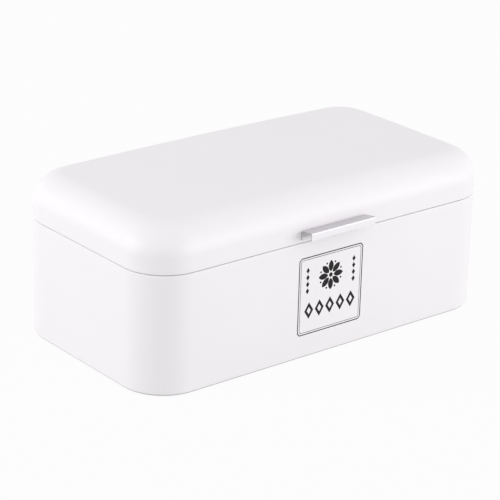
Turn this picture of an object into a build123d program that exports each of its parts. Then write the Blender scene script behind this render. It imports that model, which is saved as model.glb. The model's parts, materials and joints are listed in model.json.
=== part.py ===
from build123d import *
import os
from math import atan2, cos, degrees, hypot, radians, sin

os.makedirs("parts", exist_ok=True)

# Bread box: a white coated sheet steel box with a drawn lid on two hinges at the back.
# Sizes are in millimetres. +X runs along the width, +Y to the back and +Z up.
# The origin is in the middle of the footprint of the whole object, on the counter.

# Box and lid
box_width = 425.0
box_depth = 228.0
corner_radius = 45.0
sheet = 0.8
wall_height = 118.1
shoulder_radius = 1.5
collar_height = 6.5
collar_gap = 1.4
fold_height = 4.0
fold_edge = 0.7
seam_gap = 0.6
lid_height = 46.2
lid_edge_radius = 30.0
crown_rise = 1.8

# Base pan and feet
rim_drop = 1.7
pan_depth = 5.2
pan_edge_radius = 2.0
pan_fit = 0.1
foot_drop = 0.8
foot_radius = 8.0
foot_taper = 1.0
foot_edge = 0.8
foot_from_side = 46.0
foot_from_front = 42.0

# Air holes in the back wall
air_hole_radius = 2.0
air_hole_pitch = 14.0
air_hole_count = 5
air_hole_height = 96.0

# Handle, a bent stainless strip riveted to the lid
handle_width = 80.0
handle_depth = 15.0
handle_sheet = 1.2
handle_flange = 9.0
handle_lip = 8.0
handle_rise = 2.3
handle_bend = 1.5
handle_above_seam = 14.5
handle_rivet_spacing = 52.0

# Hinges
hinge_spacing = 240.0
hinge_width = 40.0
leaf_sheet = 1.0
lid_leaf_height = 11.4
box_leaf_height = 17.0
leaf_corner = 2.5
pin_radius = 1.5
pin_clearance = 0.05
knuckle_wall = 0.95
knuckle_gap = 0.3
knuckle_rise = 0.3
middle_knuckle = 17.0
notch_gap = 0.6
pin_head_radius = 2.1
pin_head_height = 0.8
lid_opening = 100.0
stop_width = 15.0
stop_reach = 7.5
stop_drop = 6.2
stop_clearance = 0.3

# Rivets
rivet_radius = 1.5
rivet_clearance = 0.05
rivet_head_radius = 2.7
rivet_head_height = 1.1
rivet_tail_radius = 2.3
rivet_tail_height = 0.7
hinge_rivet_spacing = 25.0

# Heights, from the counter up
rim_bottom = foot_drop
wall_bottom = rim_bottom + rim_drop
ledge = wall_bottom + wall_height
lid_bottom = ledge + seam_gap
lid_top = lid_bottom + lid_height
collar_top = ledge + collar_height
floor_top = rim_bottom + pan_depth
hinge_height = ledge + seam_gap / 2

# Depths, from the front back: handle, box and hinges share the footprint
knuckle_radius = pin_radius + pin_clearance + knuckle_wall
axis_offset = knuckle_radius + knuckle_rise
back_reach = axis_offset + stop_reach + leaf_sheet / 2
box_middle = (handle_depth - back_reach) / 2
box_front = box_middle - box_depth / 2
box_back = box_middle + box_depth / 2
hinge_axis_y = box_back + axis_offset
hinge_places = (("left", -hinge_spacing / 2), ("right", hinge_spacing / 2))

# Insets from the outside of the box wall
fold_inset = 2 * sheet
collar_inset = fold_inset + collar_gap
pan_inset = sheet + pan_fit


def plan(inset, mode=Mode.ADD):
    """Draw the rounded plan of the box, drawn in by inset all round."""
    width = box_width - 2 * inset
    depth = box_depth - 2 * inset
    with Locations((0, box_middle)):
        RectangleRounded(width, depth, corner_radius - inset, mode=mode)


def block(inset, bottom, top, top_radius=0.0):
    """A block on the plan of the box, with its top edge rounded."""
    with BuildPart() as solid:
        with BuildSketch(Plane.XY.offset(bottom)):
            plan(inset)
        extrude(amount=top - bottom)
        if top_radius > 0:
            fillet(solid.faces().sort_by(Axis.Z)[-1].edges(), top_radius)
    return solid.part


def folded_edge(inset, bottom, top, free_end):
    """A ring of sheet folded back on itself, rounded at its free end: 0 for the lower, -1 the upper."""
    with BuildPart() as ring:
        with BuildSketch(Plane.XY.offset(bottom)):
            plan(inset)
            plan(inset + fold_inset, mode=Mode.SUBTRACT)
        extrude(amount=top - bottom)
        fillet(ring.faces().sort_by(Axis.Z)[free_end].outer_wire().edges(), fold_edge)
    return ring.part


def lid_form(inset, bottom):
    """The drawn form of the lid: straight sides, a crowned top and a ball-rounded edge."""
    half_flat = box_width / 2 - lid_edge_radius
    crown_radius = (half_flat**2 + crown_rise**2) / (2 * crown_rise)
    with BuildPart() as solid:
        with BuildSketch(Plane.XY.offset(bottom)):
            plan(inset)
        extrude(amount=lid_top + 1 - bottom)
        with Locations((0, box_middle, lid_top - crown_radius)):
            Sphere(crown_radius - inset, mode=Mode.INTERSECT)
        fillet(solid.faces().sort_by(Axis.Z)[-1].edges(), lid_edge_radius - inset)
    return solid.part


def rivet(grip):
    """A domed rivet along Z: its head sits on z = 0 and its tail is spread at -grip."""
    with BuildPart() as solid:
        with BuildSketch(Plane.XZ):
            with BuildLine():
                TangentArc((0, rivet_head_height), (rivet_head_radius, 0), tangent=(1, 0))
                Polyline(
                    (rivet_head_radius, 0),
                    (rivet_radius, 0),
                    (rivet_radius, -grip),
                    (rivet_tail_radius, -grip),
                    (rivet_tail_radius, -grip - rivet_tail_height),
                    (0, -grip - rivet_tail_height),
                    (0, rivet_head_height),
                )
            make_face()
        revolve(axis=Axis.Z)
    return solid.part


def rivet_planes(x, spacing, y, z, outward):
    """Two planes on a wall, side by side, that face outward along Y."""
    return [
        Plane(origin=(x + shift, y, z), x_dir=(1, 0, 0), z_dir=(0, outward, 0))
        for shift in (-spacing / 2, spacing / 2)
    ]


# Where the rivets of the handle and of each hinge leaf sit, on the outside of the strip they hold
handle_front_top = lid_bottom + handle_above_seam
handle_back_top = handle_front_top - handle_rise
handle_rivet_z = handle_back_top - handle_sheet - (handle_flange - handle_sheet) / 2
lid_leaf_rivet_z = hinge_height + (lid_leaf_height + knuckle_radius) / 2
box_leaf_rivet_z = hinge_height - (box_leaf_height + stop_drop) / 2
handle_holes = rivet_planes(0, handle_rivet_spacing, box_front, handle_rivet_z, -1)
lid_leaf_holes = {
    side: rivet_planes(x, hinge_rivet_spacing, box_back + leaf_sheet, lid_leaf_rivet_z, 1)
    for side, x in hinge_places
}
box_leaf_holes = {
    side: rivet_planes(x, hinge_rivet_spacing, box_back + leaf_sheet, box_leaf_rivet_z, 1)
    for side, x in hinge_places
}
hole_radius = rivet_radius + rivet_clearance
leaf_grip = leaf_sheet + sheet

# Box wall: a sheet band with a shoulder, a ledge, and a folded collar that the lid closes over
wall_outside = block(0, wall_bottom, ledge, shoulder_radius)
wall_inside = block(sheet, wall_bottom, ledge - sheet, shoulder_radius - sheet)
collar_outside = block(collar_inset, ledge - sheet, collar_top - fold_height)
collar_inside = block(collar_inset + sheet, wall_bottom, collar_top - fold_height)
collar_fold = folded_edge(collar_inset, collar_top - fold_height, collar_top, free_end=-1)

with BuildPart() as body_shell:
    add([wall_outside, collar_outside])
    add([wall_inside, collar_inside], mode=Mode.SUBTRACT)
    add(collar_fold)
    with Locations(*box_leaf_holes["left"], *box_leaf_holes["right"]):
        Hole(hole_radius, 2 * leaf_grip)
    with BuildSketch(Plane((0, box_back, air_hole_height), x_dir=(-1, 0, 0), z_dir=(0, 1, 0))):
        with GridLocations(air_hole_pitch, air_hole_pitch, air_hole_count, 1):
            Circle(air_hole_radius)
    extrude(amount=-2 * sheet, mode=Mode.SUBTRACT)
body_shell.part.label = "body_shell"
export_step(body_shell.part, "parts/body_shell.step")

# Base pan: a pressed floor whose skirt goes down inside the wall and ends in a folded rim
rim_top = rim_bottom + fold_height / 2
pan_outside = block(pan_inset, rim_top, floor_top, pan_edge_radius)
pan_inside = block(pan_inset + sheet, rim_top, floor_top - sheet, pan_edge_radius - sheet)
pan_rim = folded_edge(pan_inset, rim_bottom, rim_top, free_end=0)

with BuildPart() as base_pan:
    add(pan_outside)
    add(pan_inside, mode=Mode.SUBTRACT)
    add(pan_rim)
base_pan.part.label = "base_pan"
export_step(base_pan.part, "parts/base_pan.step")

# Feet: soft tapered pads under the corners of the pan floor
foot_height = floor_top - sheet
foot_x = box_width / 2 - foot_from_side
foot_y = box_depth / 2 - foot_from_front
for end, y in (("front", box_middle - foot_y), ("rear", box_middle + foot_y)):
    for side, x in (("left", -foot_x), ("right", foot_x)):
        with BuildPart() as foot:
            with Locations((x, y, 0)):
                Cone(
                    foot_radius - foot_taper,
                    foot_radius,
                    foot_height,
                    align=(Align.CENTER, Align.CENTER, Align.MIN),
                )
            chamfer(foot.faces().sort_by(Axis.Z)[0].edges(), foot_edge)
        foot.part.label = f"foot_{end}_{side}"
        export_step(foot.part, f"parts/foot_{end}_{side}.step")

# Lid: one drawn sheet with its lower edge folded in
fold_top = lid_bottom + fold_height
lid_outside = lid_form(0, fold_top)
lid_inside = lid_form(sheet, fold_top)
lid_fold = folded_edge(0, lid_bottom, fold_top, free_end=0)

with BuildPart() as lid_shell:
    add(lid_outside)
    add(lid_inside, mode=Mode.SUBTRACT)
    add(lid_fold)
    with Locations(*handle_holes, *lid_leaf_holes["left"], *lid_leaf_holes["right"]):
        Hole(hole_radius, 2 * leaf_grip)
lid_shell.part.label = "lid_shell"
export_step(lid_shell.part, "parts/lid_shell.step")

# Handle: a strip bent twice, with a flange on the lid, a top that climbs to the front and a lip
lip_y = box_front - handle_depth
handle_slant = hypot(handle_depth, handle_rise)
under_front_top = handle_front_top - handle_sheet * (handle_slant + handle_rise) / handle_depth
under_back_top = handle_back_top - handle_sheet * (handle_slant - handle_rise) / handle_depth

with BuildPart() as lid_handle:
    with BuildSketch(Plane.YZ) as strip:
        with BuildLine():
            Polyline(
                (box_front, handle_back_top - handle_flange),
                (box_front, handle_back_top),
                (lip_y, handle_front_top),
                (lip_y, handle_front_top - handle_lip),
                (lip_y + handle_sheet, handle_front_top - handle_lip),
                (lip_y + handle_sheet, under_front_top),
                (box_front - handle_sheet, under_back_top),
                (box_front - handle_sheet, handle_back_top - handle_flange),
                close=True,
            )
        make_face()
    extrude(amount=handle_width / 2, both=True)
    inner_back, outer_back, inner_front, outer_front = (
        lid_handle.edges().filter_by(Axis.X).sort_by(Axis.Z)[-4:]
    )
    fillet([outer_back, outer_front], handle_bend)
    fillet([inner_back, inner_front], handle_bend - handle_sheet)
    with Locations(*handle_holes):
        Hole(hole_radius, 2 * handle_sheet)
lid_handle.part.label = "lid_handle"
export_step(lid_handle.part, "parts/lid_handle.step")

handle_rivet = rivet(handle_sheet + sheet)
with BuildPart() as handle_rivets:
    with Locations(*[plane.offset(handle_sheet) for plane in handle_holes]):
        add(handle_rivet)
handle_rivets.part.label = "handle_rivets"
export_step(handle_rivets.part, "parts/handle_rivets.step")


def leaf_section(up, height):
    """Draw a leaf flat on the back: above the hinge for the lid (up = 1), below for the box (-1)."""
    near = knuckle_radius + notch_gap
    with Locations((box_back + leaf_sheet / 2, hinge_height + up * (near + height) / 2)):
        Rectangle(leaf_sheet, height - near)


def knuckle_section(up):
    """Draw a knuckle rolled round the pin, with the root that joins it to its leaf."""
    near = leaf_sheet / 2
    far = knuckle_radius + notch_gap
    with Locations((box_back + leaf_sheet / 2, hinge_height + up * (near + far) / 2)):
        Rectangle(leaf_sheet, far - near)
    with Locations((hinge_axis_y, hinge_height)):
        Circle(knuckle_radius)
        Circle(pin_radius + pin_clearance, mode=Mode.SUBTRACT)


def stop_section():
    """Draw the tongue under the knuckle that the opened lid leaf comes to rest on."""
    opened = radians(lid_opening)
    face = axis_offset - leaf_sheet
    root_y, root_z = leaf_sheet / 2 - axis_offset, -stop_drop
    tip_y = stop_reach
    tip_z = (face - stop_clearance - leaf_sheet / 2 + cos(opened) * tip_y) / sin(opened)
    middle = (hinge_axis_y + (root_y + tip_y) / 2, hinge_height + (root_z + tip_z) / 2)
    with Locations(middle):
        SlotCenterToCenter(
            hypot(tip_y - root_y, tip_z - root_z),
            leaf_sheet,
            rotation=degrees(atan2(tip_z - root_z, tip_y - root_y)),
        )


# Hinges: two leaves rolled round a headed pin, riveted flat on the back of the lid and the box
finger_width = (hinge_width - middle_knuckle) / 2 - knuckle_gap
finger_shift = (hinge_width - finger_width) / 2
leaf_rivet = rivet(leaf_grip)
for side, x in hinge_places:
    with BuildPart() as lid_leaf:
        with BuildSketch(Plane.YZ.offset(x)):
            leaf_section(1, lid_leaf_height)
        extrude(amount=hinge_width / 2, both=True)
        fillet(lid_leaf.edges().filter_by(Axis.Y).group_by(Axis.Z)[-1], leaf_corner)
        with BuildSketch(Plane.YZ.offset(x)):
            knuckle_section(1)
        extrude(amount=middle_knuckle / 2, both=True)
        with Locations(*lid_leaf_holes[side]):
            Hole(hole_radius, 2 * leaf_sheet)
    lid_leaf.part.label = f"hinge_{side}_lid_leaf"
    export_step(lid_leaf.part, f"parts/hinge_{side}_lid_leaf.step")

    with BuildPart() as box_leaf:
        with BuildSketch(Plane.YZ.offset(x)):
            leaf_section(-1, box_leaf_height)
        extrude(amount=hinge_width / 2, both=True)
        fillet(box_leaf.edges().filter_by(Axis.Y).group_by(Axis.Z)[0], leaf_corner)
        with Locations((x, box_back, hinge_height)):
            Box(middle_knuckle + 2 * knuckle_gap, 4 * leaf_sheet, 2 * stop_drop, mode=Mode.SUBTRACT)
        for finger_x in (x - finger_shift, x + finger_shift):
            with BuildSketch(Plane.YZ.offset(finger_x)):
                knuckle_section(-1)
            extrude(amount=finger_width / 2, both=True)
        with BuildSketch(Plane.YZ.offset(x)):
            stop_section()
        extrude(amount=stop_width / 2, both=True)
        with Locations(*box_leaf_holes[side]):
            Hole(hole_radius, 2 * leaf_sheet)
    box_leaf.part.label = f"hinge_{side}_box_leaf"
    export_step(box_leaf.part, f"parts/hinge_{side}_box_leaf.step")

    with BuildPart() as pin:
        with BuildSketch(Plane.YZ.offset(x)):
            with Locations((hinge_axis_y, hinge_height)):
                Circle(pin_radius)
        extrude(amount=hinge_width / 2, both=True)
        for end in (-1, 1):
            with BuildSketch(Plane.YZ.offset(x + end * hinge_width / 2)):
                with Locations((hinge_axis_y, hinge_height)):
                    Circle(pin_head_radius)
            extrude(amount=end * pin_head_height)
        end_faces = pin.faces().filter_by(Axis.X).sort_by(Axis.X)
        chamfer([end_faces[0].edges()[0], end_faces[-1].edges()[0]], pin_head_height / 2)
    pin.part.label = f"hinge_{side}_pin"
    export_step(pin.part, f"parts/hinge_{side}_pin.step")

    for leaf, holes in (("lid", lid_leaf_holes[side]), ("box", box_leaf_holes[side])):
        with BuildPart() as rivets:
            with Locations(*holes):
                add(leaf_rivet)
        rivets.part.label = f"hinge_{side}_{leaf}_rivets"
        export_step(rivets.part, f"parts/hinge_{side}_{leaf}_rivets.step")
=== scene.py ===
# %% [markdown]
# A white bread box in coated sheet steel: a rounded box, a crowned lid on two hinges, and a
# bent steel handle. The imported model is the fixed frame. It says how large each piece is,
# where it sits and which body it moves with, so it is loaded first and measured, and every
# piece made here takes its size and place from it.

# %% Load the frame
import json
from math import asin, atan2, cos, hypot, pi, radians, sin, tan

import bmesh
import bpy
from mathutils import Matrix, Vector


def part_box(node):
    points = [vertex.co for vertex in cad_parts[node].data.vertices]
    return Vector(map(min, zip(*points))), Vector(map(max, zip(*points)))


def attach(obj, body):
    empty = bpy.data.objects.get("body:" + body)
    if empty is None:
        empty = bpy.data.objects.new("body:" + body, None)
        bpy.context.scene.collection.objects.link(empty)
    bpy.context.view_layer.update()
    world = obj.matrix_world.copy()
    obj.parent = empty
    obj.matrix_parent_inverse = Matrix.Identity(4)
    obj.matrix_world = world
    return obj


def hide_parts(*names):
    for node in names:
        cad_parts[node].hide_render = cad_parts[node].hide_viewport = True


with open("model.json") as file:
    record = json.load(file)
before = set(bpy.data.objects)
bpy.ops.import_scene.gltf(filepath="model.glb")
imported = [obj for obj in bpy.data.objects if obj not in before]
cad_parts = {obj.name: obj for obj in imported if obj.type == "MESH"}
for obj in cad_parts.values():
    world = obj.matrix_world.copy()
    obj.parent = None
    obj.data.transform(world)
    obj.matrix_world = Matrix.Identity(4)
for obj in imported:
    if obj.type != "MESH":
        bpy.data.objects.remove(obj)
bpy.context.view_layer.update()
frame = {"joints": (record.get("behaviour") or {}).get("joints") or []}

# %% [markdown]
# The pieces are drawn in millimetres, as on a workshop drawing, and one function takes each
# finished piece to metres. The sizes that a node's box gives are read from it. The rest, such
# as the thickness of the sheet, are the maker's sizes.

# %% Sizes from the frame, in millimetres
MM = 0.001


def node_box(node):
    """The lowest and highest corner of a node, in millimetres."""
    low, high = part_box(node)
    return low / MM, high / MM


lid_low, lid_high = node_box("lid_shell")
wall_low, wall_high = node_box("body_shell")
pan_low, pan_high = node_box("base_pan")
handle_low, handle_high = node_box("lid_handle")
box_width = lid_high.x - lid_low.x
box_depth = lid_high.y - lid_low.y
middle_y = (lid_low.y + lid_high.y) / 2
hinge_y, hinge_z = (value / MM for value in frame["joints"][0]["pos_m"][1:])
print(f"box {box_width:.1f} x {box_depth:.1f}, lid top {lid_high.z:.1f}")
print(f"hinge at y {hinge_y:.1f}, z {hinge_z:.1f}")

# %% Sizes of the sheet and its folds
sheet = 0.8
corner_radius = 45
shoulder_radius = 1.5
seam_gap = 0.6
collar_inset = 3.0
collar_bend = 0.5
hem_height = 4.0
lid_edge_radius = 30
crown_rise = 1.8
pan_inset = 0.9
pan_hem_height = 2.0
pan_edge_radius = 2.0
ledge = lid_low.z - seam_gap

# %% [markdown]
# An operator acts on all that is selected, so every piece starts with nothing selected, and
# inside a piece the faces or edges are chosen by their place. These few helpers do that. Places
# closer than a hundredth of a millimetre count as one, and cuts and merges are finer still.

# %% Selecting
same_place = 0.01
fine = 0.001


def deselect():
    """Leave every object unselected."""
    bpy.ops.object.select_all(action="DESELECT")


def edit(piece):
    """Open one piece in edit mode."""
    deselect()
    piece.select_set(True)
    bpy.context.view_layer.objects.active = piece
    bpy.ops.object.mode_set(mode="EDIT")


def choose(kind, test):
    """In edit mode, select the vertices, edges or faces whose centre passes a test."""
    bpy.ops.mesh.select_mode(type={"verts": "VERT", "edges": "EDGE", "faces": "FACE"}[kind])
    bpy.ops.mesh.select_all(action="DESELECT")
    mesh = bmesh.from_edit_mesh(bpy.context.object.data)
    for element in getattr(mesh, kind):
        corners = [element] if kind == "verts" else element.verts
        if test(sum((corner.co for corner in corners), Vector()) / len(corners)):
            element.select_set(True)
    bmesh.update_edit_mesh(bpy.context.object.data)


def close_edit():
    """Go back to object mode and return the piece."""
    bpy.ops.object.mode_set(mode="OBJECT")
    return bpy.context.object


# %% [markdown]
# Three more helpers work on whole pieces. The place, turn and scale of a piece go into its mesh,
# and each modifier is applied as soon as it is set, so that a piece is plain geometry by the time
# the next one is made.


# %% Whole pieces
def join(pieces):
    """Make one object of several and return it."""
    deselect()
    for piece in pieces:
        piece.select_set(True)
    bpy.context.view_layer.objects.active = pieces[0]
    bpy.ops.object.join()
    return bpy.context.object


def bake_place(piece):
    """Put an object's place, turn and scale into its mesh."""
    deselect()
    piece.select_set(True)
    bpy.context.view_layer.objects.active = piece
    bpy.ops.object.transform_apply(location=True, rotation=True, scale=True)


def apply_modifier(piece, kind, **settings):
    """Add a modifier with its settings and apply it."""
    modifier = piece.modifiers.new(kind.lower(), kind)
    for setting, value in settings.items():
        setattr(modifier, setting, value)
    deselect()
    piece.select_set(True)
    bpy.context.view_layer.objects.active = piece
    bpy.ops.object.modifier_apply(modifier=modifier.name)


# %% [markdown]
# Every finished piece is shaded smooth except at its sharp edges. Weighted normals let the
# large flat faces rule their borders, so that a wall reads as flat right up to where its
# rounded corner begins. Then the piece goes to metres and onto the body that carries it.

# %% Finish a piece
smooth_angle = 35


def finish_piece(piece, name, body, nodes, material):
    """Shade, scale to metres, paint, and hang a piece on its body in place of its nodes."""
    deselect()
    piece.select_set(True)
    bpy.context.view_layer.objects.active = piece
    bpy.ops.object.shade_smooth_by_angle(angle=radians(smooth_angle))
    apply_modifier(piece, "WEIGHTED_NORMAL", keep_sharp=True)
    piece.scale = (MM, MM, MM)
    bake_place(piece)
    piece.name = piece.data.name = name
    piece.data.materials.clear()
    piece.data.materials.append(material)
    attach(piece, body)
    if nodes:
        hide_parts(*nodes)
    print(name, len(piece.data.polygons), "faces")


# %% [markdown]
# Colours are written as they look on screen, in hex, and one function turns them to the linear
# values that a shader needs. One more adds a node with its settings and its links.


# %% Colours and nodes
def colour(code):
    """A hex colour as linear red, green, blue and alpha."""
    parts = [int(code[i : i + 2], 16) / 255 for i in (1, 3, 5)]
    return [p / 12.92 if p <= 0.04045 else ((p + 0.055) / 1.055) ** 2.4 for p in parts] + [1]


def add_node(tree, kind, inputs, **settings):
    """Add a shader node. An input is a plain value, or the socket that feeds it."""
    node = tree.nodes.new("ShaderNode" + kind)
    for setting, value in settings.items():
        setattr(node, setting, value)
    for socket, value in inputs.items():
        if isinstance(value, bpy.types.NodeSocket):
            tree.links.new(value, node.inputs[socket])
        else:
            node.inputs[socket].default_value = value
    return node


def new_material(name):
    """An empty material and its node tree."""
    material = bpy.data.materials.new(name)
    material.use_nodes = True
    material.node_tree.nodes.clear()
    return material, material.node_tree


# %% [markdown]
# The patterns here are mostly a noise that mixes two colours, sets the gloss or raises the
# surface. So these four steps have names, and a material below reads as what it is made of. Their
# sizes are in millimetres, as on the real thing, and are turned to metres inside.


# %% Patterns
def blend(tree, share, first, second):
    """Mix two colours: the first at a share of 0, the second at 1."""
    inputs = {"Factor": share, "A": first, "B": second}
    return add_node(tree, "Mix", inputs, data_type="RGBA").outputs["Result"]


def noise(tree, place, size, detail, **inputs):
    """A noise whose waves are some millimetres apart."""
    inputs = {"Vector": place, "Scale": 1 / (size * MM), "Detail": detail, **inputs}
    return add_node(tree, "TexNoise", inputs).outputs["Fac"]


def between(tree, value, low, high):
    """Spread a value from 0 to 1 over the range from low to high."""
    inputs = {"Value": value, "To Min": low, "To Max": high}
    return add_node(tree, "MapRange", inputs).outputs["Result"]


def relief(tree, height, strength, depth):
    """A bump normal whose depth is in millimetres."""
    inputs = {"Height": height, "Strength": strength, "Distance": depth * MM}
    return add_node(tree, "Bump", inputs).outputs["Normal"]


# %% [markdown]
# The coat is polyester powder, sprayed dry and baked on the steel. It flows into a half gloss
# skin with a faint orange peel: waves about 2 mm apart and a few thousandths of a millimetre
# deep. A noise gives those waves to the bump, and a slower one lets the gloss and the white drift
# a little, as they do where the powder lay thicker. Its index is that of polyester, about 1.5.
# The base's rim, tucked under the wall, is painted a greyer colour below the wall's lower edge,
# fading to white over a millimetre above it. This is painted shade for the shadow in that recess,
# and it draws a fine line there.

# %% Powder coat
coat_whites = ("#F3F0F3", "#F6F3F6")
coat_roughness = (0.46, 0.54)
coat_index = 1.5
peel_waves = 2.2
drift_waves = 70
painted_shade_fade = 1


def powder_coat(name, painted_shade_colour=None):
    """Polyester powder coat, with an optional painted shade: a darker colour on the rim under the
    wall.
    """
    material, tree = new_material(name)
    place = add_node(tree, "TexCoord", {}).outputs["Object"]
    peel = noise(tree, place, peel_waves, detail=1.5, Roughness=0.4)
    drift = noise(tree, place, drift_waves, detail=2)
    white = blend(tree, drift, *(colour(code) for code in coat_whites))
    # Painted shade: below the wall's lower edge the white turns to the given darker colour, which
    # stands in for the shadow under the wall.
    if painted_shade_colour:
        height = add_node(tree, "SeparateXYZ", {"Vector": place}).outputs["Z"]
        painted_shade_span = {"From Min": wall_low.z * MM, "From Max": (wall_low.z + painted_shade_fade) * MM}
        unshaded_share = add_node(tree, "MapRange", {"Value": height, **painted_shade_span}).outputs["Result"]
        white = blend(tree, unshaded_share, colour(painted_shade_colour), white)
    coat = add_node(
        tree,
        "BsdfPrincipled",
        {
            "Base Color": white,
            "Roughness": between(tree, drift, *coat_roughness),
            "IOR": coat_index,
            "Normal": relief(tree, peel, strength=0.25, depth=0.02),
        },
    )
    add_node(tree, "OutputMaterial", {"Surface": coat.outputs["BSDF"]})
    return material


white_coat = powder_coat("white_polyester_powder_coat")
# The base's coat has painted shade on its rim: a line of shadow under the wall.
base_coat_with_painted_shade = powder_coat("base_powder_coat_painted_shade", painted_shade_colour="#CCC9CC")

# %% [markdown]
# The handle is a strip of ferritic stainless steel, brushed along its length with a belt. The
# brushing draws fine lines along X, and such lines smear a reflection across themselves: that is
# why the upright lip catches the lamps above it and looks white, while the top mirrors the lid and
# looks grey. The shader's anisotropy does this, with its tangent turned a quarter from the lines.
# Real lines are about 0.05 mm apart, too fine for the picture, so they are drawn 0.4 mm apart.
# The hinges are stamped from mild steel and nickel plated: a little warmer, with no lines, only
# the faint unevenness of a plated stamping.


# %% Steels
def steel(name, tint, low, high, stretch, grain, smear):
    """Bare or plated steel whose gloss follows a noise, stretched along X where it is brushed."""
    material, tree = new_material(name)
    place = add_node(tree, "TexCoord", {}).outputs["Object"]
    drawn = add_node(tree, "Mapping", {"Vector": place, "Scale": (1 / stretch, 1, 1)})
    lines = noise(tree, drawn.outputs["Vector"], grain, detail=3)
    along_x = add_node(
        tree,
        "VectorTransform",
        {"Vector": (1, 0, 0)},
        vector_type="VECTOR",
        convert_from="OBJECT",
        convert_to="WORLD",
    )
    metal = add_node(
        tree,
        "BsdfPrincipled",
        {
            "Base Color": colour(tint),
            "Metallic": 1.0,
            "Roughness": between(tree, lines, low, high),
            "Anisotropic": smear,
            "Anisotropic Rotation": 0.25,
            "Tangent": along_x.outputs["Vector"],
            "Normal": relief(tree, lines, strength=0.3, depth=0.01),
        },
    )
    add_node(tree, "OutputMaterial", {"Surface": metal.outputs["BSDF"]})
    return material


brushed_stainless = steel(
    "brushed_stainless_steel", "#CBC9CC", low=0.36, high=0.50, stretch=40, grain=0.4, smear=0.8
)
nickel_plate = steel(
    "nickel_plated_steel", "#C8C5C0", low=0.18, high=0.28, stretch=1, grain=3, smear=0
)


# %% [markdown]
# The feet are moulded thermoplastic rubber, matt and slightly cloudy, and the print is screen
# ink, a dense black film that covers evenly and is a little rougher than the coat beneath.


# %% Rubber and ink
def matt_film(name, dark, light, grain, roughness, shine):
    """A matt material whose tone wanders between two colours over a grain size in millimetres."""
    material, tree = new_material(name)
    place = add_node(tree, "TexCoord", {}).outputs["Object"]
    cloud = noise(tree, place, grain, detail=4)
    film = add_node(
        tree,
        "BsdfPrincipled",
        {
            "Base Color": blend(tree, cloud, colour(dark), colour(light)),
            "Roughness": roughness,
            "Specular IOR Level": shine,
            "Normal": relief(tree, cloud, strength=0.2, depth=0.02),
        },
    )
    add_node(tree, "OutputMaterial", {"Surface": film.outputs["BSDF"]})
    return material


foot_rubber = matt_film(
    "moulded_rubber", "#C6C6C4", "#CECECC", grain=0.8, roughness=0.75, shine=0.5
)
screen_ink = matt_film(
    "screen_printed_ink", "#141214", "#1E1C1F", grain=1.5, roughness=0.6, shine=0.2
)

# %% [markdown]
# The box wall, the pan and the lid are all sheet metal that keeps one section all round a
# rounded plan. They could be a box with a large bevel, but its ledges and folds would be hard to
# reach. So each is grown from the plan, one flat face with rounded corners. It is cut along the
# lines where its corners begin, and between them, which keeps the faces of the walls compact.

# %% The plan
corner_pieces = 24


def plan_face(inset, height, facing):
    """Start a skin in edit mode: the box's plan, drawn in, facing up (1) or down (-1)."""
    width = box_width - 2 * inset
    depth = box_depth - 2 * inset
    radius = corner_radius - inset
    deselect()
    bpy.ops.mesh.primitive_plane_add(size=1, location=(0, middle_y, height))
    bpy.context.object.scale = (width, depth, 1)
    bake_place(bpy.context.object)
    bpy.ops.object.mode_set(mode="EDIT")
    bpy.ops.mesh.select_all(action="SELECT")
    bpy.ops.mesh.bevel(
        offset=radius, segments=corner_pieces, affect="VERTICES", profile=0.5, clamp_overlap=False
    )
    straight_x, straight_y = width / 2 - radius, depth / 2 - radius
    for share in (-1, -0.5, 0, 0.5, 1):
        for x, y, normal in (
            (share * straight_x, middle_y, (1, 0, 0)),
            (0, middle_y + share * straight_y, (0, 1, 0)),
        ):
            bpy.ops.mesh.select_all(action="SELECT")
            bpy.ops.mesh.bisect(plane_co=(x, y, height), plane_no=normal, threshold=fine)
    bpy.ops.mesh.select_all(action="SELECT")
    if facing < 0:
        bpy.ops.mesh.flip_normals()


# %% [markdown]
# From there the face is drawn in and lifted step by step, and every step leaves a ring of wall
# behind. A bend is a few such steps that share out its turn. Drawing in keeps the distance from
# the edge even, so the corner radius shrinks as a real offset does.


# %% Steps along a section
def bend(radius, start, end, pieces):
    """The steps round a bend. Headings are in degrees: 0 is up, 90 is inwards, 180 is down."""
    turn = 1 if end > start else -1
    headings = [radians(start + (end - start) * i / pieces) for i in range(pieces + 1)]
    return [
        (turn * radius * (cos(a) - cos(b)), turn * radius * (sin(b) - sin(a)))
        for a, b in zip(headings, headings[1:])
    ]


def pull(move):
    """Extrude what is selected by a move."""
    bpy.ops.mesh.extrude_region_move(TRANSFORM_OT_translate={"value": move})


def follow(steps, facing):
    """Draw the selected faces in and lift them, step by step, leaving a ring behind each time."""
    for inward, lift in steps:
        move = (0, 0, facing * lift)
        if inward > 0:
            bpy.ops.mesh.inset(thickness=inward, depth=0, use_even_offset=True, use_boundary=True)
            bpy.ops.transform.translate(value=move)
        else:
            pull(move)


# %% [markdown]
# One walk along the section makes one skin of the sheet. It is open where it began, and at its
# far end too if the sheet ends there. Skins that begin on one rim are merged there. Two open rims
# at the same height are bridged, and the bridge is the cut edge of the sheet.


# %% Skins and shells
def skin(inset, height, steps, facing=1, open_top=False, flip=False):
    """One skin of sheet metal, grown from the plan along a section and open where it began."""
    plan_face(inset, height, facing)
    follow(steps, facing)
    if open_top:
        bpy.ops.mesh.delete(type="FACE")
    choose("faces", lambda centre: abs(centre.z - height) < fine)
    bpy.ops.mesh.delete(type="FACE")
    if flip:
        bpy.ops.mesh.select_all(action="SELECT")
        bpy.ops.mesh.flip_normals()
    return close_edit()


def choose_rims(height):
    """In edit mode, select the open edges that lie at a height."""
    bpy.ops.mesh.select_mode(type="EDGE")
    bpy.ops.mesh.select_all(action="DESELECT")
    mesh = bmesh.from_edit_mesh(bpy.context.object.data)
    for edge in mesh.edges:
        if edge.is_boundary and all(abs(end.co.z - height) < same_place for end in edge.verts):
            edge.select_set(True)
    bmesh.update_edit_mesh(bpy.context.object.data)


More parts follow.
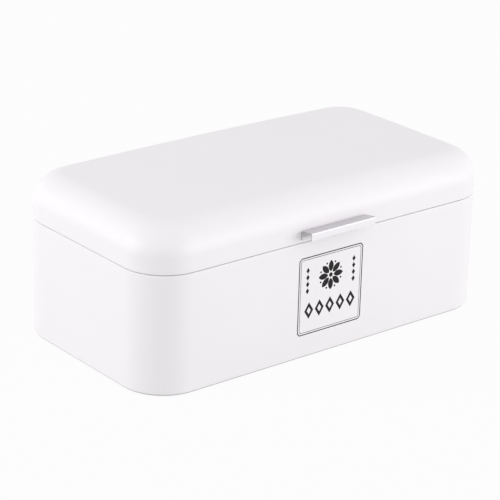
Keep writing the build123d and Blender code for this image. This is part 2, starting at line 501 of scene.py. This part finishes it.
def close_shell(skins, bridges):
    """Join skins, merge the rims that meet, and bridge the pairs of open rims at some heights."""
    edit(join(skins))
    bpy.ops.mesh.select_all(action="SELECT")
    bpy.ops.mesh.remove_doubles(threshold=2 * fine)
    for height in bridges:
        choose_rims(height)
        bpy.ops.mesh.bridge_edge_loops()
    bpy.ops.mesh.select_all(action="SELECT")
    bpy.ops.mesh.normals_make_consistent(inside=False)
    return close_edit()


# %% [markdown]
# The box wall is one band of sheet. It rises to a small shoulder, turns in to a ledge that the
# lid shuts down on, then up again into a collar whose edge is folded back on itself, so that
# nobody meets a cut edge when reaching for bread. The outer skin follows all of that, and the
# inner skin comes up behind it. Their rims are bridged at the bottom and under the fold, which
# makes the two cut edges of the sheet.

# %% Box wall
collar_width = collar_inset - shoulder_radius - collar_bend
outer_steps = [
    (0, ledge - shoulder_radius - wall_low.z),
    *bend(shoulder_radius, 0, 90, pieces=8),
    (collar_width, 0),
    *bend(collar_bend, 90, 0, pieces=4),
    (0, wall_high.z - sheet - ledge - collar_bend),
    *bend(sheet, 0, 180, pieces=12),
    (0, -(hem_height - sheet)),
]
inner_shoulder = shoulder_radius - sheet
inner_bend = collar_bend + sheet
inner_steps = [
    (0, ledge - shoulder_radius - wall_low.z),
    *bend(inner_shoulder, 0, 90, pieces=5),
    (collar_inset - inner_shoulder - inner_bend, 0),
    *bend(inner_bend, 90, 0, pieces=6),
    (0, wall_high.z - hem_height - (ledge - sheet) - inner_bend),
]
box_wall = close_shell(
    [
        skin(0, wall_low.z, outer_steps, open_top=True),
        skin(sheet, wall_low.z, inner_steps, open_top=True, flip=True),
    ],
    bridges=(wall_low.z, wall_high.z - hem_height),
)

# %% [markdown]
# A row of small holes high in the back wall lets moist air out. They are punched with a boolean,
# since a round hole through a flat wall is all they are.

# %% Air holes
air_hole_radius = 2
air_hole_pitch = 14
air_hole_count = 5
air_hole_height = 96
punch_length = 4
punches = []
for number in range(air_hole_count):
    shift = (number - (air_hole_count - 1) / 2) * air_hole_pitch
    deselect()
    bpy.ops.mesh.primitive_cylinder_add(
        vertices=32,
        radius=air_hole_radius,
        depth=punch_length,
        location=(shift, wall_high.y - sheet / 2, air_hole_height),
        rotation=(pi / 2, 0, 0),
    )
    punches.append(bpy.context.object)
punch = join(punches)
bake_place(punch)
apply_modifier(box_wall, "BOOLEAN", operation="DIFFERENCE", object=punch, solver="EXACT")
bpy.data.objects.remove(punch)
finish_piece(box_wall, "box_wall", "box", ["body_shell"], white_coat)

# %% [markdown]
# The base is a flat pan, pressed from one sheet and set into the wall from below, and the lid is
# a deeper pressing of the same kind. A hollowed box would have no folded edge, so both are grown
# as three skins: one rises from just above the fold and closes over the top, a second goes down
# and round the fold, and an inner one rises from the fold's cut edge.


# %% Base pan
def hemmed_shell(inset, bottom, top, hem, edge_radius, edge_pieces):
    """A pressed sheet with a rounded top edge and its lower edge folded in."""
    start = bottom + sheet
    outer = [
        (0, top - edge_radius - start),
        *bend(edge_radius, 0, 90, edge_pieces),
    ]
    fold_round = [
        *bend(sheet, 0, 180, pieces=12),
        (0, -(hem - sheet)),
    ]
    inner_radius = edge_radius - sheet
    inner = [
        (0, top - edge_radius - bottom - hem),
        *bend(inner_radius, 0, 90, edge_pieces),
    ]
    return close_shell(
        [
            skin(inset, start, outer),
            skin(inset, start, fold_round, facing=-1, open_top=True),
            skin(inset + sheet, bottom + hem, inner, flip=True),
        ],
        bridges=(bottom + hem,),
    )


base_pan = hemmed_shell(
    pan_inset, pan_low.z, pan_high.z, pan_hem_height, pan_edge_radius, edge_pieces=8
)
finish_piece(base_pan, "pressed_base", "box", ["base_pan"], base_coat_with_painted_shade)

# %% [markdown]
# The lid is drawn over a former with a slight crown, which keeps its large top from drumming. A
# subdivision surface would give a crown too, but not the true radius of the rounded edge. So the
# lid is built flat, and then its top is lowered towards the edge by the drop of a large sphere.
# The drop fades out down the rounded edge until the straight wall begins.

# %% Lid
lid = hemmed_shell(0, lid_low.z, lid_high.z, hem_height, lid_edge_radius, edge_pieces=24)
half_flat = box_width / 2 - lid_edge_radius
crown_radius = (half_flat**2 + crown_rise**2) / (2 * crown_rise)
edge_start = lid_high.z - lid_edge_radius
for corner in lid.data.vertices:
    drop = (corner.co.x**2 + (corner.co.y - middle_y) ** 2) / (2 * crown_radius)
    corner.co.z -= drop * max(0, corner.co.z - edge_start) / lid_edge_radius
print(f"crown radius {crown_radius:.0f}")
finish_piece(lid, "lid_skin", "lid", ["lid_shell"], white_coat)

# %% [markdown]
# The handle and the hinge leaves are strips of sheet, bent to shape. A strip could be cut from
# blocks, but then its thickness would change in the bends. So it is drawn as its middle plane,
# extended by extruding an edge, and gets its thickness last, which keeps it even all along. A
# small bevel breaks its cut edges, as deburring does.


# %% Strips
def strip_face(width, height, centre):
    """Start a strip in edit mode: an upright face that looks to the front."""
    deselect()
    bpy.ops.mesh.primitive_plane_add(size=1, location=centre, rotation=(pi / 2, 0, 0))
    bpy.context.object.scale = (width, height, 1)
    bake_place(bpy.context.object)
    bpy.ops.object.mode_set(mode="EDIT")
    bpy.ops.mesh.select_all(action="SELECT")


def thicken(strip, thickness, edge):
    """Give a strip its thickness and break its edges."""
    apply_modifier(strip, "SOLIDIFY", thickness=thickness, offset=0, use_even_offset=True)
    apply_modifier(
        strip, "BEVEL", width=edge, segments=2, limit_method="ANGLE", angle_limit=radians(40)
    )
    edit(strip)
    bpy.ops.mesh.select_all(action="SELECT")
    bpy.ops.mesh.normals_make_consistent(inside=False)
    return close_edit()


# %% [markdown]
# The handle is one strip of stainless steel, bent twice. The flange lies on the lid and takes the
# rivets, the top climbs a little to the front, and the lip gives the fingers an edge to pull on.
# The two bends are rounded while the strip is still a plane, to the radius of its middle.

# %% Handle
handle_sheet = 1.2
handle_flange = 9.0
handle_lip = 8.0
handle_rise = 2.3
handle_bend = 1.5
handle_edge = 0.15
handle_depth = handle_high.y - handle_low.y
slant = atan2(handle_rise, handle_depth)
outer_back = handle_low.z + handle_flange
outer_front = outer_back + handle_rise
step = handle_sheet / 2
flange_y = handle_high.y - step
lip_y = handle_low.y + step
below = step / cos(slant)
back_top = outer_back + step * tan(slant) - below
front_top = outer_front - step * tan(slant) - below
flange_middle = (0, flange_y, (handle_low.z + back_top) / 2)
strip_face(handle_high.x - handle_low.x, back_top - handle_low.z, flange_middle)
choose("edges", lambda centre: abs(centre.z - back_top) < same_place)
pull((0, lip_y - flange_y, front_top - back_top))
pull((0, 0, outer_front - handle_lip - front_top))
middle_bend = handle_bend - step
for corner_y, corner_z, turn in (
    (flange_y, back_top, pi / 2 - slant),
    (lip_y, front_top, pi / 2 + slant),
):
    choose("edges", lambda centre: hypot(centre.y - corner_y, centre.z - corner_z) < same_place)
    bend_length = middle_bend * tan(turn / 2)
    bpy.ops.mesh.bevel(offset=bend_length, segments=8, affect="EDGES", profile=0.5)
lift_handle = thicken(close_edit(), handle_sheet, handle_edge)
finish_piece(lift_handle, "lift_handle", "lid", ["lid_handle"], brushed_stainless)

# %% [markdown]
# Rivets, hinge pins and feet are round, so each is a line of points, turned about its axis. The
# line starts as one point and is drawn out point by point, as a lathe tool would follow it.


# %% Turned pieces
def turned(profile, steps):
    """Turn a line of (radius, height) points about the Z axis into a closed piece."""
    deselect()
    bpy.ops.mesh.primitive_plane_add(size=1)
    bpy.ops.object.mode_set(mode="EDIT")
    bpy.ops.mesh.select_all(action="SELECT")
    bpy.ops.mesh.merge(type="CENTER")
    bpy.ops.mesh.select_all(action="SELECT")
    bpy.ops.transform.translate(value=(profile[0][0], 0, profile[0][1]))
    for here, there in zip(profile, profile[1:]):
        bpy.ops.mesh.extrude_vertices_move(
            TRANSFORM_OT_translate={"value": (there[0] - here[0], 0, there[1] - here[1])}
        )
    bpy.ops.mesh.select_all(action="SELECT")
    bpy.ops.mesh.spin(steps=steps, angle=2 * pi, center=(0, 0, 0), axis=(0, 0, 1))
    bpy.ops.mesh.select_all(action="SELECT")
    bpy.ops.mesh.remove_doubles(threshold=fine)
    bpy.ops.mesh.normals_make_consistent(inside=False)
    return close_edit()


def arc_points(centre, radius, start, end, pieces):
    """Points on an arc of a turned profile, with its angles in degrees from the outward radius."""
    angles = [radians(start + (end - start) * i / pieces) for i in range(pieces + 1)]
    return [(centre[0] + radius * cos(a), centre[1] + radius * sin(a)) for a in angles]


def copy_to(piece, place, turn):
    """A copy of a piece with a mesh of its own, at a place and with a turn."""
    copy = piece.copy()
    copy.data = piece.data.copy()
    bpy.context.collection.objects.link(copy)
    copy.location = place
    copy.rotation_euler = turn
    bake_place(copy)
    return copy


def copies(piece, places, turn=(0, 0, 0)):
    """Copy a piece to each place with a turn, and drop the first."""
    made = [copy_to(piece, place, turn) for place in places]
    bpy.data.objects.remove(piece)
    return made


# %% [markdown]
# A rivet is set from outside: a low dome with a small upright rim that sits on the strip, a
# shank through the sheet, and a tail upset on the inside. Both rivets of a pair are one piece
# here, as they are one group of fasteners in the frame.

# %% Rivets
rivet_radius = 1.5
rivet_rim = 0.15
rivet_sizes = {"head": (2.7, 1.1), "tail": (2.3, 0.7)}


def rivet(grip):
    """A domed rivet along Z: its head sits on z = 0 and its tail under the grip."""
    head_radius, head_height = rivet_sizes["head"]
    tail_radius, tail_height = rivet_sizes["tail"]
    dome_height = head_height - rivet_rim
    dome_radius = (head_radius**2 + dome_height**2) / (2 * dome_height)
    dome_start = 90 - asin(head_radius / dome_radius) * 180 / pi
    tail_round = tail_height / 2
    tail_end = -grip - tail_height
    return turned(
        [
            *reversed(arc_points((0, head_height - dome_radius), dome_radius, dome_start, 90, 10)),
            (head_radius, 0),
            (rivet_radius, 0),
            (rivet_radius, -grip),
            (tail_radius, -grip),
            *arc_points((tail_radius - tail_round, tail_end + tail_round), tail_round, 0, -90, 6),
            (0, tail_end),
        ],
        steps=36,
    )


def rivet_pair(node, name, body, material, seat_y, facing, grip):
    """Set two rivets where the frame has a pair, with their heads on a seat that faces along Y."""
    low, high = node_box(node)
    reach = rivet_sizes["head"][0]
    places = [(x, seat_y, (low.z + high.z) / 2) for x in (low.x + reach, high.x - reach)]
    pair = join(copies(rivet(grip), places, (-facing * pi / 2, 0, 0)))
    finish_piece(pair, name, body, [node], material)


handle_seat = handle_high.y - handle_sheet
rivet_pair(
    "handle_rivets", "handle_rivet_pair", "lid", brushed_stainless,
    handle_seat, -1, handle_sheet + sheet,
)

# %% [markdown]
# A foot is a soft round pad, pushed up through the pan. It tapers a little towards the counter,
# its edge is rounded, and its face is dished so that it grips with a ring. The dish is given by
# its depth in the middle, by a point on its slope as shares of radius and depth, and by the
# width and height of the low lip that leads to the ring.

# %% Feet
foot_taper = 1.0
foot_edge = 0.8
foot_dish = 0.25
dish_slope = (0.55, 0.8)
dish_lip = (0.6, 0.05)


def foot(radius, height):
    """A tapered pad, standing on z = 0."""
    base = radius - foot_taper
    return turned(
        [
            (0, foot_dish),
            (base * dish_slope[0], foot_dish * dish_slope[1]),
            (base - foot_edge - dish_lip[0], dish_lip[1]),
            (base - foot_edge, 0),
            *arc_points((base - foot_edge, foot_edge), foot_edge, -90, 0, 6)[1:],
            (radius, height),
            (0, height),
        ],
        steps=48,
    )


for end in ("front", "rear"):
    for side in ("left", "right"):
        foot_low, foot_high = node_box(f"foot_{end}_{side}")
        foot_centre = ((foot_low.x + foot_high.x) / 2, (foot_low.y + foot_high.y) / 2, foot_low.z)
        pad = foot((foot_high.x - foot_low.x) / 2, foot_high.z - foot_low.z)
        pad = copies(pad, [foot_centre])[0]
        finish_piece(
            pad, f"{end}_{side}_pad", "box", [f"foot_{end}_{side}"], foot_rubber
        )

# %% [markdown]
# Each hinge is two stamped leaves rolled round a pin. A leaf is a flat blank with rounded far
# corners. Its knuckle is the end of the blank, curled round the pin, so here the free edge is
# spun about the pin's axis, which leaves the slit that every rolled knuckle has. The lid's leaf
# has the middle knuckle and the box's leaf the outer two.

# %% Hinge sizes
leaf_sheet = 1.0
leaf_corner = 2.5
leaf_edge = 0.12
pin_radius = 1.5
pin_head_radius = 2.1
pin_clearance = 0.05
knuckle_wall = 0.95
knuckle_gap = 0.3
knuckle_width = 17
knuckle_turn = 290
notch_gap = 0.6
stop_width = 15
stop_reach = 7.5
stop_drop = 6.2
stop_clearance = 0.3
stop_bend = 0.8
lid_opening = frame["joints"][0]["range_deg"][1]
roll_radius = pin_radius + pin_clearance + knuckle_wall / 2
knuckle_reach = roll_radius + knuckle_wall / 2 + notch_gap
leaf_y = wall_high.y + leaf_sheet / 2


# %% Leaf blanks
def cut(*planes):
    """In edit mode, cut the whole blank along planes, each given by a point and a normal."""
    for point, normal in planes:
        bpy.ops.mesh.select_all(action="SELECT")
        bpy.ops.mesh.bisect(plane_co=point, plane_no=normal, threshold=fine)


def leaf_blank(node, far_up):
    """Start a leaf in edit mode: the flat blank from its far edge to beside the knuckles."""
    low, high = node_box(node)
    far = high.z if far_up > 0 else low.z
    near = hinge_z + far_up * knuckle_reach
    centre = ((low.x + high.x) / 2, leaf_y, (far + near) / 2)
    strip_face(high.x - low.x, abs(far - near), centre)
    choose("verts", lambda corner: abs(corner.z - far) < same_place)
    bpy.ops.mesh.bevel(offset=leaf_corner, segments=8, affect="VERTICES", profile=0.5)
    return centre[0], near


def roll(middle_x, near, up, inside):
    """Lead the free edge on to the pin's height and curl it round the pin."""
    choose(
        "edges",
        lambda centre: abs(centre.z - near) < same_place and inside(abs(centre.x - middle_x)),
    )
    pull((0, hinge_y - roll_radius - leaf_y, hinge_z - near))
    bpy.ops.mesh.spin(
        steps=30,
        angle=radians(knuckle_turn),
        center=(middle_x, hinge_y, hinge_z),
        axis=(-up, 0, 0),
    )


# %% Lid leaf
def lid_leaf(node):
    """The leaf on the lid, with one knuckle in the middle."""
    middle_x, near = leaf_blank(node, 1)
    half = knuckle_width / 2
    cut(*(((middle_x + side * half, 0, 0), (1, 0, 0)) for side in (-1, 1)))
    roll(middle_x, near, 1, lambda distance: distance < half)
    return thicken(close_edit(), leaf_sheet, leaf_edge)


# %% [markdown]
# Without a stop the open lid would pull the box over. Between its knuckles the box's leaf has a
# tongue bent outwards, on which the opened lid leaf comes to rest. The tongue's tip is put where
# that leaf stands when the joint is at its limit, less a small clearance.


# %% Box leaf
def box_leaf(node):
    """The leaf on the box, with a knuckle at each side and the stop tongue between them."""
    middle_x, near = leaf_blank(node, -1)
    notch = knuckle_width / 2 + knuckle_gap
    half_stop = stop_width / 2
    root_z = hinge_z - stop_drop

    def on_root(centre):
        return abs(centre.z - root_z) < same_place and abs(centre.x - middle_x) < half_stop

    cut(
        ((0, 0, root_z), (0, 0, 1)),
        *(((middle_x + x, 0, 0), (1, 0, 0)) for x in (-notch, -half_stop, half_stop, notch)),
    )
    choose("faces", lambda centre: centre.z > root_z and abs(centre.x - middle_x) < notch)
    bpy.ops.mesh.delete(type="FACE")
    roll(middle_x, near, -1, lambda distance: distance > notch)
    opened = radians(lid_opening)
    rest = hinge_y - wall_high.y - leaf_sheet - stop_clearance - leaf_sheet / 2
    tip_z = (rest + cos(opened) * stop_reach) / sin(opened)
    choose("edges", on_root)
    pull((0, hinge_y + stop_reach - leaf_y, tip_z + stop_drop))
    choose("edges", on_root)
    bpy.ops.mesh.bevel(offset=stop_bend, segments=5, affect="EDGES", profile=0.5)
    return thicken(close_edit(), leaf_sheet, leaf_edge)


# %% [markdown]
# The pin has a head at each end, which keeps it in its knuckles. It is turned like a rivet and
# then laid along the hinge. The leaves, the pin and the rivets of each hinge go to the bodies
# that carry them.


# %% Hinge pin
def hinge_pin(length, between_heads):
    """A pin along Z with a head at each end, centred on the origin."""
    seat = between_heads / 2
    tip = length / 2
    rounding = (tip - seat) / 2
    upper = [
        (pin_radius, seat),
        (pin_head_radius, seat),
        *arc_points((pin_head_radius - rounding, tip - rounding), rounding, 0, 90, 6),
        (0, tip),
    ]
    return turned([*((radius, -height) for radius, height in reversed(upper)), *upper], steps=36)


# %% Both hinges
for side in ("left", "right"):
    leaf_low, leaf_high = node_box(f"hinge_{side}_lid_leaf")
    pin_low, pin_high = node_box(f"hinge_{side}_pin")
    pin_centre = ((pin_low.x + pin_high.x) / 2, hinge_y, hinge_z)
    pin = hinge_pin(pin_high.x - pin_low.x, leaf_high.x - leaf_low.x)
    pin = copies(pin, [pin_centre], (0, pi / 2, 0))[0]
    for piece, name, body, node in (
        (lid_leaf(f"hinge_{side}_lid_leaf"), f"{side}_lid_leaf", "lid", f"hinge_{side}_lid_leaf"),
        (box_leaf(f"hinge_{side}_box_leaf"), f"{side}_box_leaf", "box", f"hinge_{side}_box_leaf"),
        (pin, f"{side}_hinge_pin", "box", f"hinge_{side}_pin"),
    ):
        finish_piece(piece, name, body, [node], nickel_plate)
    for body in ("lid", "box"):
        rivet_pair(
            f"hinge_{side}_{body}_rivets", f"{side}_{body}_rivet_pair", body,
            nickel_plate, wall_high.y + leaf_sheet, 1, leaf_sheet + sheet,
        )

# %% [markdown]
# The front of the box carries a printed panel: a double line, a rosette between two columns of
# small lozenges, and a row of larger ones. Screen ink is a film that stands a few hundredths of a
# millimetre proud, so every shape is drawn flat, given that thickness, and then stood up on the
# wall. A lozenge or a petal is drawn once and copied.

# %% Print sizes
panel_half = (40.2, 40.25)
panel_middle = (-1.0, 64.75)
panel_cut = 2.95
panel_line = 1.05
inner_margin = 2.4
inner_line = 0.5
ink_film = 0.06


# %% Print shapes
def outline(half_x, half_y, corner, line, pieces):
    """A line round a rectangle whose corners are cut (1 piece) or rounded."""
    deselect()
    bpy.ops.mesh.primitive_plane_add(size=2)
    bpy.context.object.scale = (half_x, half_y, 1)
    bake_place(bpy.context.object)
    bpy.ops.object.mode_set(mode="EDIT")
    bpy.ops.mesh.select_all(action="SELECT")
    bpy.ops.mesh.bevel(offset=corner, segments=pieces, affect="VERTICES", profile=0.5)
    bpy.ops.mesh.select_all(action="SELECT")
    bpy.ops.mesh.inset(thickness=line, use_even_offset=True)
    bpy.ops.mesh.delete(type="FACE")
    return close_edit()


def patch(corners, half_x, half_y):
    """A filled shape with this many corners: 4 is a lozenge, many a disc or an oval."""
    deselect()
    bpy.ops.mesh.primitive_circle_add(vertices=corners, radius=1, fill_type="NGON")
    bpy.context.object.scale = (half_x, half_y, 1)
    bake_place(bpy.context.object)
    return bpy.context.object


def petal(length, width):
    """A petal that starts at the origin and points up: the overlap of two circles."""
    radius = (length**2 + width**2) / (4 * width)
    sides = []
    for side in (-1, 1):
        disc = patch(96, radius, radius)
        disc.location = (side * (radius - width / 2), length / 2, 0)
        bake_place(disc)
        edit(disc)
        bpy.ops.mesh.select_all(action="SELECT")
        bpy.ops.mesh.bisect(
            plane_co=(0, 0, 0), plane_no=(side, 0, 0), clear_outer=True, threshold=fine
        )
        sides.append(close_edit())
    return join(sides)


def around(piece, count, distance, start=0):
    """Copies of a piece, moved up by a distance and turned about the origin in equal steps."""
    piece.location = (0, distance, 0)
    bake_place(piece)
    turns = [start + 2 * pi * number / count for number in range(count)]
    made = [copy_to(piece, (0, 0, 0), (0, 0, turn)) for turn in turns]
    bpy.data.objects.remove(piece)
    return made


# %% Rosette
rosette_height = 15.5
eye_radius = 2.3
petal_count = 8
petal_size = (11.8, 6.2)
petal_start = 3.4
bead_radius = 1.05
bead_distance = 13.6
petals = around(petal(*petal_size), petal_count, petal_start)
bead = patch(24, bead_radius, bead_radius)
beads = around(bead, petal_count, bead_distance, start=pi / petal_count)
rosette = join([patch(48, eye_radius, eye_radius), *petals, *beads])
rosette = copies(rosette, [(0, rosette_height, 0)])

# %% Lozenges
lozenge_row = -15.7
lozenge_pitch = 13.2
lozenge_half = (5.6, 8.6)
lozenge_line = 2.6
small_lozenge_half = (2.1, 3.1)
side_column = 29
side_pitch = 7
row = [(number * lozenge_pitch, lozenge_row, 0) for number in (-2, -1, 0, 1, 2)]
ring = patch(4, *lozenge_half)
edit(ring)
bpy.ops.mesh.select_all(action="SELECT")
bpy.ops.mesh.inset(thickness=lozenge_line, use_even_offset=True)
bpy.ops.mesh.delete(type="FACE")
lozenges = copies(close_edit(), row)
columns = [
    (side * side_column, rosette_height + number * side_pitch, 0)
    for side in (-1, 1)
    for number in (-1.5, -0.5, 0.5, 1.5)
]
small_lozenges = copies(patch(4, *small_lozenge_half), columns)

# %% Printed panel
inner_half = [half - inner_margin for half in panel_half]
panel = join(
    [
        outline(*panel_half, panel_cut, panel_line, pieces=1),
        outline(*inner_half, panel_cut, inner_line, pieces=8),
        *rosette,
        *lozenges,
        *small_lozenges,
    ]
)
apply_modifier(panel, "SOLIDIFY", thickness=ink_film, offset=0)
panel.rotation_euler = (pi / 2, 0, 0)
panel.location = (panel_middle[0], wall_low.y, panel_middle[1])
bake_place(panel)
finish_piece(panel, "front_print", "box", [], screen_ink)

# %% [markdown]
# The box stands on a plain white floor in a white room. To the camera, and to the gloss and the
# metal that mirror it, floor and room are plain white, which comes from their own material and
# not from the lamps. A small share of the floor stays diffuse, and that share keeps the soft
# shadow under the box. To the light that falls on it the floor is a pale grey paper, so that it
# throws less light up at the front of the lid than a white one would.


# %% White where it is seen
def seen_directly(tree):
    """1 for rays from the camera and for mirrored and transmitted ones, 0 for diffuse light."""
    rays = add_node(tree, "LightPath", {})
    mirrored = add_node(
        tree,
        "Math",
        {0: rays.outputs["Is Camera Ray"], 1: rays.outputs["Is Glossy Ray"]},
        operation="MAXIMUM",
    )
    return add_node(
        tree,
        "Math",
        {0: mirrored.outputs["Value"], 1: rays.outputs["Is Transmission Ray"]},
        operation="MAXIMUM",
    ).outputs["Value"]


# %% Floor
floor_size = 12
floor_white_share = 0.95
deselect()
bpy.ops.mesh.primitive_plane_add(size=floor_size, location=(0, 0, 0))
floor = bpy.context.object
floor.name = "studio_floor"
floor_paint, tree = new_material("matt_white_paint")
plain_white = add_node(tree, "Emission", {"Color": (1, 1, 1, 1), "Strength": 1})
painted = add_node(tree, "BsdfDiffuse", {"Color": colour("#D0D0D0")})
seen = {0: seen_directly(tree), 1: floor_white_share}
white_part = add_node(tree, "Math", seen, operation="MULTIPLY").outputs["Value"]
mixed = add_node(
    tree,
    "MixShader",
    {0: white_part, 1: painted.outputs["BSDF"], 2: plain_white.outputs["Emission"]},
)
add_node(tree, "OutputMaterial", {"Surface": mixed.outputs["Shader"]})
floor.data.materials.append(floor_paint)
print("floor", floor_size, "m wide, white share", floor_white_share)

# %% Room
room_light = 0.77
room = bpy.data.worlds.new("white_room")
bpy.context.scene.world = room
room.use_nodes = True
tree = room.node_tree
tree.nodes.clear()
level = between(tree, seen_directly(tree), room_light, 1.0)
walls = add_node(tree, "Background", {"Color": (1, 1, 1, 1), "Strength": level})
add_node(tree, "OutputWorld", {"Surface": walls.outputs["Background"]})
print("room light", room_light)

# %% [markdown]
# Two soft boxes light the coat. One stands to the left and a little behind, and a wider, lower
# one to the right of the front. Each wall faces one of them, and the corner between the walls
# faces the gap where the camera stands, which is why it is a little darker.

# %% Lamps
lamp_distance = 3
lamp_target = Vector((0, 0, 0.08))


def soft_box(name, turn, rise, width, height, watts):
    """An area lamp aimed at the box. Turn is in degrees from its left side towards its front."""
    away = Vector((-cos(radians(turn)), -sin(radians(turn)), 0)) * cos(radians(rise))
    away.z = sin(radians(rise))
    place = lamp_target + lamp_distance * away
    deselect()
    bpy.ops.object.light_add(type="AREA", location=place)
    lamp = bpy.context.object
    lamp.name = lamp.data.name = name
    lamp.rotation_euler = (lamp_target - place).to_track_quat("-Z", "Y").to_euler()
    lamp.data.shape = "RECTANGLE"
    lamp.data.size = width
    lamp.data.size_y = height
    lamp.data.energy = watts
    print(name, [round(value, 2) for value in place])


soft_box("left_soft_box", turn=-24, rise=14, width=1.4, height=1.5, watts=32.5)
soft_box("front_soft_box", turn=120, rise=8, width=2.6, height=1.2, watts=37)

# %% [markdown]
# The camera stands where the photograph was taken from: some two metres away, to the left of
# the front and looking down on the box, with a long lens and a slight tilt to its left.

# %% Camera
camera_place = (-1229.5, -1496.5, 828.1)
camera_yaw = 39.156
camera_pitch = 21.4
camera_roll = 1.53
camera_lens = 149.39
camera_sensor = 36
deselect()
bpy.ops.object.camera_add(location=Vector(camera_place) * MM)
camera = bpy.context.object
yaw = Matrix.Rotation(radians(-camera_yaw), 3, "Z")
pitch = Matrix.Rotation(radians(90 - camera_pitch), 3, "X")
roll_about_view = Matrix.Rotation(radians(camera_roll), 3, "Z")
camera.rotation_euler = (yaw @ pitch @ roll_about_view).to_euler()
camera.data.sensor_width = camera_sensor
camera.data.lens = camera_lens
camera.data.clip_start = 0.05
bpy.context.scene.camera = camera
bpy.context.scene.view_settings.view_transform = "Standard"
print("camera at", camera_place, "mm, lens", camera_lens)
